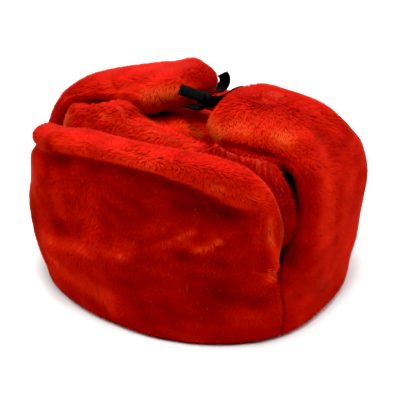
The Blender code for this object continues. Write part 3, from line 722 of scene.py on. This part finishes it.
def at_places(grid, column, spot, s, t):
    """A grid read inside its quads: (1-s)(1-t) a + s(1-t) b + st c + (1-s)t d."""
    next_column = (column + 1) % grid.shape[0]
    next_spot = (spot + 1) % grid.shape[1]
    s, t = s[:, None], t[:, None]
    near = (1 - t) * grid[column, spot] + t * grid[column, next_spot]
    far = (1 - t) * grid[next_column, spot] + t * grid[next_column, next_spot]
    return (1 - s) * near + s * far


def strokes(points, table):
    """What a table of strokes adds at each point: change times each soft line, of which the
    strongest one that adds and the strongest one that takes away count."""
    more = np.zeros(points.shape[:-1])
    less = np.zeros(points.shape[:-1])
    for *line, half_width, change in table:
        here = change * stroke(points, line[:3], line[3:], half_width)
        more = np.maximum(more, here)
        less = np.minimum(less, here)
    return more + less


def scatter(loops, normals, share, count, ring, seed):
    """Places spread evenly by area over a grid of loops, as much of each quad as share says: the
    quads' areas are laid end to end on one line, with one place in each of its equal steps."""
    rng = np.random.default_rng(seed)
    next_column = np.roll(loops, -1, axis=0)
    next_spot = np.roll(loops, -1, axis=1)
    corner = np.roll(next_column, -1, axis=1)
    area = np.linalg.norm(np.cross(corner - loops, next_column - next_spot), axis=-1) / 2
    area = area * share
    if not ring:
        area[-1] = 0
    line = np.cumsum(area.ravel())
    at = (np.arange(count) + rng.random(count)) / count * line[-1]
    quad = np.minimum(np.searchsorted(line, at, side="right"), area.size - 1)
    column, spot = np.divmod(quad, loops.shape[1])
    s, t = rng.random((2, count))
    roots = at_places(loops, column, spot, s, t)
    return roots, unit(at_places(normals, column, spot, s, t))


def needles(roots, ways, lengths, widths, seed):
    """Three-sided needles: three corners round each root at 120 degrees, and a tip at
    root + length * way. Returns points, triangles and each point's direction from the axis."""
    rng = np.random.default_rng(seed)
    count = len(roots)
    aside = unit(np.cross(ways, rng.normal(size=(count, 3))))
    third = np.cross(ways, aside)
    turn = np.radians([0, 120, 240])
    outward = aside[:, None] * np.cos(turn)[:, None] + third[:, None] * np.sin(turn)[:, None]
    base = roots[:, None] + outward * widths[:, None, None] / np.sqrt(3)
    tip = roots + ways * lengths[:, None]
    points = np.concatenate([base, tip[:, None]], axis=1).reshape(-1, 3)
    start = 4 * np.arange(count)[:, None, None]
    triangles = (start + np.array([[0, 1, 3], [1, 2, 3], [2, 0, 3]])).reshape(-1, 3)
    outward = np.concatenate([outward, ways[:, None]], axis=1)
    return points, triangles, outward.reshape(-1, 3)


def add_object(name, data):
    """An object in the scene from its data."""
    thing = bpy.data.objects.new(name, data)
    bpy.context.scene.collection.objects.link(thing)
    return thing


def add_mesh(name, points, faces, material, normals=None):
    """A smooth-shaded mesh object at the origin from points in millimetres."""
    mesh = bpy.data.meshes.new(name)
    mesh.from_pydata((points * MM).tolist(), [], faces)
    mesh.shade_smooth()
    if normals is not None:
        mesh.normals_split_custom_set_from_vertices(normals.tolist())
    mesh.materials.append(material)
    return add_object(name, mesh)


def grid_faces(columns, spots, ring):
    """Quads of a grid of closed loops, four corners a row."""
    index = np.arange(columns * spots).reshape(columns, spots)
    onward = np.roll(index, -1, axis=0)
    quads = np.stack([index, onward, np.roll(onward, -1, axis=1), np.roll(index, -1, axis=1)], -1)
    if not ring:
        quads = quads[:-1]
    return quads.reshape(-1, 4)


def weld(thing):
    """Merges points that lie together, so that the closed ends and the poles are sealed."""
    mesh = thing.data
    work = bmesh.new()
    work.from_mesh(mesh)
    bmesh.ops.remove_doubles(work, verts=work.verts, dist=1e-6)
    bmesh.ops.dissolve_degenerate(work, edges=work.edges, dist=1e-7)
    work.to_mesh(mesh)
    work.free()
    mesh.shade_smooth()


def linear(colour):
    """An sRGB hex colour as linear light: ((c + 0.055) / 1.055)^2.4, or c / 12.92 when dark."""
    c = np.array([int(colour[i : i + 2], 16) for i in (1, 3, 5)]) / 255
    c = np.where(c <= 0.04045, c / 12.92, ((c + 0.055) / 1.055) ** 2.4)
    return (*c.tolist(), 1.0)


def feed(tree, made, links, values):
    """Links sockets to a node's inputs by name, and sets other inputs to constants."""
    for name, source in links.items():
        tree.links.new(source, made.inputs[name])
    for name, value in values.items():
        made.inputs[name].default_value = value


def node(tree, kind, settings=None, links=None, values=None, stops=()):
    """Adds a node with its settings, the sockets that feed its inputs, its inputs' values, and
    the (place, hex colour) stops of its colour ramp."""
    made = tree.nodes.new(kind)
    for name, value in (settings or {}).items():
        setattr(made, name, value)
    feed(tree, made, links or {}, values or {})
    for index, (place, colour) in enumerate(stops):
        elements = made.color_ramp.elements
        element = elements[index] if index < len(elements) else elements.new(place)
        element.position = place
        element.color = linear(colour)
    return made


def new_material(name):
    """A material with its tree and its shader."""
    material = bpy.data.materials.new(name)
    material.use_nodes = True
    return material, material.node_tree, material.node_tree.nodes["Principled BSDF"]


def sheared_pile():
    """Dyed acrylic pile, sheared short. Its colour holds painted shade and light: darker and more
    saturated towards the roots, as painted shade deep between the strands, lighter and more
    orange towards the tips, and lighter or darker in strokes of painted highlight and painted
    shade, besides random patches where the pile lies another way. The colour of reach, 0 at a
    root and 1 at a tip, is multiplied by the colour of tone."""
    material, tree, shader = new_material("sheared_acrylic_pile")
    reach = node(tree, "ShaderNodeAttribute", {"attribute_name": "reach"}).outputs["Fac"]
    tone = node(tree, "ShaderNodeAttribute", {"attribute_name": "tone"}).outputs["Fac"]
    # painted shade: the roots are darker, as the shade deep between the strands, and the tips
    # lighter and more orange
    stops = [(0.0, "#C42C1A"), (1.0, "#E8602A")]
    depth = node(tree, "ShaderNodeValToRGB", links={"Fac": reach}, stops=stops)
    # a low tone is a darker red, for painted shade, and a high one paler and more orange, for
    # painted highlights
    stops = [(0.0, "#8E3E70"), (0.5, "#D1629A"), (0.8, "#EC83A4"), (1.0, "#FFE4F0")]
    patch_and_painted_light = node(tree, "ShaderNodeValToRGB", links={"Fac": tone}, stops=stops)
    multiply = {"data_type": "RGBA", "blend_type": "MULTIPLY"}
    colours = {6: depth.outputs["Color"], 7: patch_and_painted_light.outputs["Color"]}
    mixed = node(tree, "ShaderNodeMix", multiply, colours, {0: 1.0})
    matt = {"Roughness": 0.7, "Specular IOR Level": 0.01}
    sheen = {"Sheen Weight": 0.07, "Sheen Roughness": 0.3, "Sheen Tint": linear("#FF9040")}
    feed(tree, shader, {"Base Color": mixed.outputs[2]}, matt | sheen)
    return material


def pile_backing():
    """Knitted acrylic backing, seen only between the strands: darker than they are, so it reads
    as their shade, mottled over about 11 mm, and rough with loops of knit 0.7 mm wide."""
    material, tree, shader = new_material("knitted_pile_backing")
    place = node(tree, "ShaderNodeTexCoord").outputs["Object"]
    size = {"Scale": 90.0, "Detail": 4.0}
    mottle = node(tree, "ShaderNodeTexNoise", {}, {"Vector": place}, size)
    stops = [(0.3, "#8E1C12"), (0.7, "#A02416")]
    colour = node(tree, "ShaderNodeValToRGB", links={"Fac": mottle.outputs["Fac"]}, stops=stops)
    size = {"Scale": 1400.0, "Detail": 2.0}
    grain = node(tree, "ShaderNodeTexNoise", {}, {"Vector": place}, size)
    size = {"Strength": 0.6, "Distance": 0.0006}
    bump = node(tree, "ShaderNodeBump", {}, {"Height": grain.outputs["Fac"]}, size)
    links = {"Base Color": colour.outputs["Color"], "Normal": bump.outputs["Normal"]}
    feed(tree, shader, links, {"Roughness": 0.85, "Specular IOR Level": 0.03})
    return material


def cotton_tape():
    """Black cotton tape, woven: matt, with a fine check of threads about 0.5 mm wide."""
    material, tree, shader = new_material("woven_cotton_tape")
    place = node(tree, "ShaderNodeUVMap", {"uv_map": "threads"}).outputs["UV"]
    weave = node(tree, "ShaderNodeTexChecker", {}, {"Vector": place}, {"Scale": 2.0})
    stops = [(0.0, "#080909"), (1.0, "#121414")]
    colour = node(tree, "ShaderNodeValToRGB", links={"Fac": weave.outputs["Fac"]}, stops=stops)
    size = {"Strength": 0.5, "Distance": 0.0002}
    bump = node(tree, "ShaderNodeBump", {}, {"Height": weave.outputs["Fac"]}, size)
    links = {"Base Color": colour.outputs["Color"], "Normal": bump.outputs["Normal"]}
    feed(tree, shader, links, {"Roughness": 0.9, "Specular IOR Level": 0.06})
    return material


def set_corner_uv(mesh, name, uv):
    """A UV map from one row of (u, v) for each face corner."""
    layer = mesh.uv_layers.new(name=name)
    layer.uv.foreach_set("vector", np.asarray(uv, np.float32).ravel())


def set_point_value(mesh, name, values):
    """An attribute from one number for each point."""
    layer = mesh.attributes.new(name, "FLOAT", "POINT")
    layer.data.foreach_set("value", np.asarray(values, np.float32))


def make_pad(name, loops, normals, ring, nodes, material):
    """A pad of fabric and wadding: the solid's shape, moved along its normals by the puffs less
    the pile's depth. Returns its points."""
    faces = grid_faces(*loops.shape[:2], ring)
    points = loops + normals * (strokes(loops, PILE_PUFFS) - PILE_DEPTH)[..., None]
    thing = add_mesh(name, points.reshape(-1, 3), faces.tolist(), material)
    weld(thing)
    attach(thing, "root")
    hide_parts(*nodes)
    return points


def make_pile(name, loops, normals, share, count, ring, seed, material):
    """Pile on a pad, as needles that end about where the solid does. A strand's way is
    up cos(lean) + lay sin(lean), and its lay is the brushed direction turned by swirl."""
    rng = np.random.default_rng(seed)
    roots, up = scatter(loops, normals, share, count, ring, seed)
    brushed = np.array(BRUSHED)
    lay = unit(brushed - (up @ brushed)[:, None] * up)
    side = np.cross(up, lay)
    swirl = drift(roots, SWIRL_DRIFT) + rng.normal(scale=SWIRL_SCATTER, size=count)
    lean = STRAND_LEAN + drift(roots, LEAN_DRIFT) + rng.normal(scale=LEAN_SCATTER, size=count)
    lay = lay * np.cos(swirl)[:, None] + side * np.sin(swirl)[:, None]
    way = unit(up * np.cos(lean)[:, None] + lay * np.sin(lean)[:, None])
    length = rng.uniform(*STRAND_LENGTH, count)
    # a strand whose tip would be under the rim is shortened
    height = roots[:, 2]
    tip = height + length * way[:, 2]
    shorter = np.clip((height - RIM_CLEARANCE) / np.maximum(height - tip, 1e-6), 0.1, 1)
    length = np.where(tip < RIM_CLEARANCE, length * shorter, length)
    width = rng.uniform(*STRAND_WIDTH, count)
    points, triangles, outward = needles(roots - STRAND_ROOT * up, way, length, width, seed)
    as_strand, as_pad = STRAND_SHADING
    shading = unit(as_strand * outward + as_pad * np.repeat(up, 4, axis=0))
    thing = add_mesh(name, points, triangles.tolist(), material, shading)
    # the tone: random patches, plus the strokes of painted highlight and painted shade
    tone = TONE_MIDDLE + drift(roots, TONE_DRIFT) + strokes(roots, PILE_LAY_AND_PAINTED_LIGHT)
    tone = np.clip(tone + rng.normal(scale=TONE_SCATTER, size=count), *TONE_ENDS)
    set_point_value(thing.data, "tone", np.repeat(tone, 4))
    set_point_value(thing.data, "reach", np.tile([0.0, 0.0, 0.0, 1.0], count))
    # each face takes a sliver of the bake's image, with tone across it and reach up it
    sliver = np.array([[-0.0015, 0.0], [0.0015, 0.0], [0.0, 1.0]])
    uv = np.repeat(tone, 3)[:, None, None] * np.array([1.0, 0.0]) + sliver
    set_corner_uv(thing.data, "OFBake", uv.reshape(-1, 2))
    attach(thing, "root")


def flap_share(loops, rows, hidden_below):
    """Where a flap has pile: all over its outer face and its edges, and on the inner face only
    above a height, as its lower part lies against the crown."""
    height = loops[..., 2]
    inner = np.arange(loops.shape[1]) >= rows + 3
    share = 1.0 - (inner & (height < hidden_below))
    share[:, -1] = RIM_SHARE
    ends = np.r_[:3, -4:0]
    share[ends] *= height[ends] >= BARE_SEAM
    return share


def tape_ribbon(tape, steps):
    """A flat tape along a path: middle + x across + y face, with x and y from a profile with
    rounded edges, crowned by TAPE_CROWN (1 - x^2). Returns the middle, the points as steps by
    corners, the length up to each step, and the directions across and along."""
    keys = np.arange(len(tape["x"]))
    places = np.linspace(0, keys[-1], steps)
    middle, across = np.split(smooth_through(keys, np.stack([*tape.values()], -1), places), 2, -1)
    forward = unit(np.gradient(middle, axis=0))
    across = unit(across - (across * forward).sum(-1, keepdims=True) * forward)
    face = np.cross(forward, across)
    half = np.array([*TAPE_PROFILE.values()])
    x, y = np.concatenate([half, -half], axis=1)
    y = y * TAPE_THICKNESS / 2 + TAPE_CROWN * (1 - x**2)
    x = x * TAPE_WIDTH / 2
    loop = across[:, None] * x[:, None] + face[:, None] * y[:, None]
    run = np.concatenate([[0], np.cumsum(np.linalg.norm(np.diff(middle, axis=0), axis=1))])
    return middle, middle[:, None] + loop, run, across, forward


def make_tape(name, tape, steps, nodes, frayed, seed, material):
    """A tape with closed ends, and loose threads at the cut end where it is frayed. Its pattern
    counts threads round the section and millimetres along it."""
    middle, loops, run, across, forward = tape_ribbon(tape, steps)
    caps = np.repeat(middle[[0, -1], None], CORNERS, axis=1)
    closed = np.concatenate([caps[:1], loops, caps[1:]])
    polygons = grid_faces(closed.shape[0], CORNERS, False).tolist()
    points = closed.reshape(-1, 3)
    u = np.tile(np.arange(CORNERS) / CORNERS * TAPE_THREADS, closed.shape[0])
    v = np.repeat(np.concatenate([[run[0]], run, [run[-1]]]), CORNERS)
    uv = np.stack([u, v], -1)
    if frayed:
        rng = np.random.default_rng(seed)
        count = FRAY_THREADS
        spread = rng.uniform(-0.95, 0.95, count)
        roots = middle[-1] + across[-1] * (spread * TAPE_WIDTH / 2)[:, None] - forward[-1] * 0.3
        way = across[-1] * rng.normal(scale=0.25, size=(count, 1))
        way = unit(forward[-1] + way + rng.normal(scale=0.2, size=(count, 3)))
        length = rng.uniform(*FRAY_LENGTH, count)
        more, triangles, _ = needles(roots, way, length, np.full(count, FRAY_WIDTH), seed)
        polygons += (triangles + len(points)).tolist()
        points = np.concatenate([points, more])
        uv = np.concatenate([uv, np.zeros((len(more), 2))])
    thing = add_mesh(name, points, polygons, material)
    set_corner_uv(thing.data, "threads", uv[np.concatenate(polygons)])
    weld(thing)
    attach(thing, "root")
    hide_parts(*nodes)
    return thing, middle


def make_knot(material):
    """The knot: three turns of tape wound over each other. Each is an ellipse in its own plane,
    C + r (cos t e1 + sin t e2), with an oval section carried round it: x = half-width cos a,
    y = half-thickness sin a - KNOT_SAG x^2."""
    t = np.linspace(0, 2 * np.pi, KNOT_STEPS, endpoint=False)
    spot = np.linspace(0, 2 * np.pi, CORNERS, endpoint=False)
    wide, thick = KNOT_TAPE
    scale = np.array(KNOT_RADII) / KNOT_RADII[0]
    points = []
    polygons = []
    uvs = []
    for axis, radius, shift in KNOT_TURNS:
        axis = unit(np.array(axis))
        first = unit(np.cross(axis, [0.3, 0.2, 1.0]))
        second = np.cross(axis, first)
        outward = np.cos(t)[:, None] * first + np.sin(t)[:, None] * second
        x = np.cos(spot) * wide
        y = np.sin(spot) * thick - KNOT_SAG * x**2
        loop = outward[:, None] * (radius + y)[:, None] + axis * (x + shift)[:, None]
        start = len(points) * KNOT_STEPS * CORNERS
        points.append((loop * scale + np.array(KNOT_CENTRE)).reshape(-1, 3))
        faces = grid_faces(KNOT_STEPS, CORNERS, True)[:, ::-1]
        polygons += (faces + start).tolist()
        u = np.tile(spot / (2 * np.pi) * KNOT_THREADS, KNOT_STEPS)
        uvs.append(np.stack([u, np.repeat(t * radius, CORNERS)], -1))
    thing = add_mesh("knot_turns", np.concatenate(points), polygons, material)
    set_corner_uv(thing.data, "threads", np.concatenate(uvs)[np.array(polygons).ravel()])
    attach(thing, "root")
    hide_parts("tie_knot")
    return thing


def add_aimed(name, data, place, way):
    """A camera or a lamp at a place in metres, looking along a way."""
    thing = add_object(name, data)
    thing.location = place
    thing.rotation_euler = Vector(way).to_track_quat("-Z", "Y").to_euler()
    return thing


def make_camera():
    """The camera looks at the hat from its front left and above, as the photograph does."""
    turn, climb = np.radians([CAMERA_AZIMUTH, CAMERA_ELEVATION])
    back = np.array([np.sin(turn) * np.cos(climb), -np.cos(turn) * np.cos(climb), np.sin(climb)])
    data = bpy.data.cameras.new("camera")
    data.lens = CAMERA_LENS
    data.sensor_width = 36.0
    data.shift_x, data.shift_y = CAMERA_SHIFT
    data.clip_start = 0.05
    place = (np.array(CAMERA_TARGET) + back * CAMERA_DISTANCE) * MM
    bpy.context.scene.camera = add_aimed("camera", data, place, -back)


def make_studio():
    """A pale matt floor, and square softboxes overhead, above the camera and, weaker, round the
    hat, all turned to its middle. The print's darkest tones are drawn down to black."""
    scene = bpy.context.scene
    view = scene.view_settings
    view.view_transform = "Standard"
    view.use_curve_mapping = True
    view.curve_mapping.black_level = (BLACK_LEVEL,) * 3
    material, tree, shader = new_material("pale_floor")
    values = {"Base Color": linear("#F4F4F4"), "Roughness": 0.9, "Specular IOR Level": 0.0}
    feed(tree, shader, {}, values)
    corners = np.array([[-1, -1, 0], [1, -1, 0], [1, 1, 0], [-1, 1, 0]]) * FLOOR_HALF
    floor = add_mesh("floor", corners, [(0, 1, 2, 3)], material)
    world = bpy.data.worlds.new("studio")
    world.use_nodes = True
    background = world.node_tree.nodes["Background"]
    feed(world.node_tree, background, {}, {"Color": linear("#FFFFFF"), "Strength": 0.01})
    scene.world = world
    for name, (place, power) in SOFTBOXES.items():
        data = bpy.data.lights.new(name, "AREA")
        data.size = SOFTBOX_SIZE
        data.energy = power
        add_aimed(name, data, place, np.array(HAT_MIDDLE) - place)


def dress_crown(backing, pile):
    """The crown's pad, drawn in on its outer face only, and its pile."""
    fill, count, start, seed = PADS["crown"]
    crown = crown_loops()
    up = loop_normals(crown, True)
    rows = CROWN_GRID[1]
    up[:, rows - 1] = (0, 0, 1)
    up[:, rows] = (0, 0, -1)
    spots = np.arange(2 * rows)
    drawn = up * (spots < rows)[:, None]
    roots = make_pad("crown_pad", crown, drawn, True, ["crown"], backing)
    share = (spots < rows - 1) & (crown[..., 2] > start)
    make_pile("crown_pile", roots, up, share, count, True, seed, pile)


def dress_flap(name, loops, rows, backing, pile):
    """A flap's pad, drawn in on both faces, and its pile."""
    fill, count, start, seed = PADS[name]
    up = loop_normals(loops, False)
    roots = make_pad(name + "_pad", loops, up, False, [name], backing)
    share = flap_share(loops, rows, start)
    make_pile(name + "_pile", roots, up, share, count, False, seed, pile)


def main():
    """The view, the light and the hat: its tapes, then its pads with their pile."""
    make_camera()
    make_studio()
    backing = pile_backing()
    pile = sheared_pile()
    cotton = cotton_tape()
    ties, line = make_tape("ties", TIES, 64, ["left_tie", "right_tie"], False, 1, cotton)
    side_tail, _ = make_tape("side_tail_tape", SIDE_TAIL, 24, ["side_tail"], True, 2, cotton)
    nodes = ["upright_tail"]
    upright, _ = make_tape("upright_tail_tape", UPRIGHT_TAIL, 36, nodes, True, 3, cotton)
    knot = make_knot(cotton)
    dress_crown(backing, pile)
    dress_flap("front_visor", visor_loops(), VISOR_GRID[1], backing, pile)
    dress_flap("left_ear_flap", ear_flap_loops(1), EAR_GRID[1], backing, pile)
    dress_flap("right_ear_flap", ear_flap_loops(-1), EAR_GRID[1], backing, pile)


main()
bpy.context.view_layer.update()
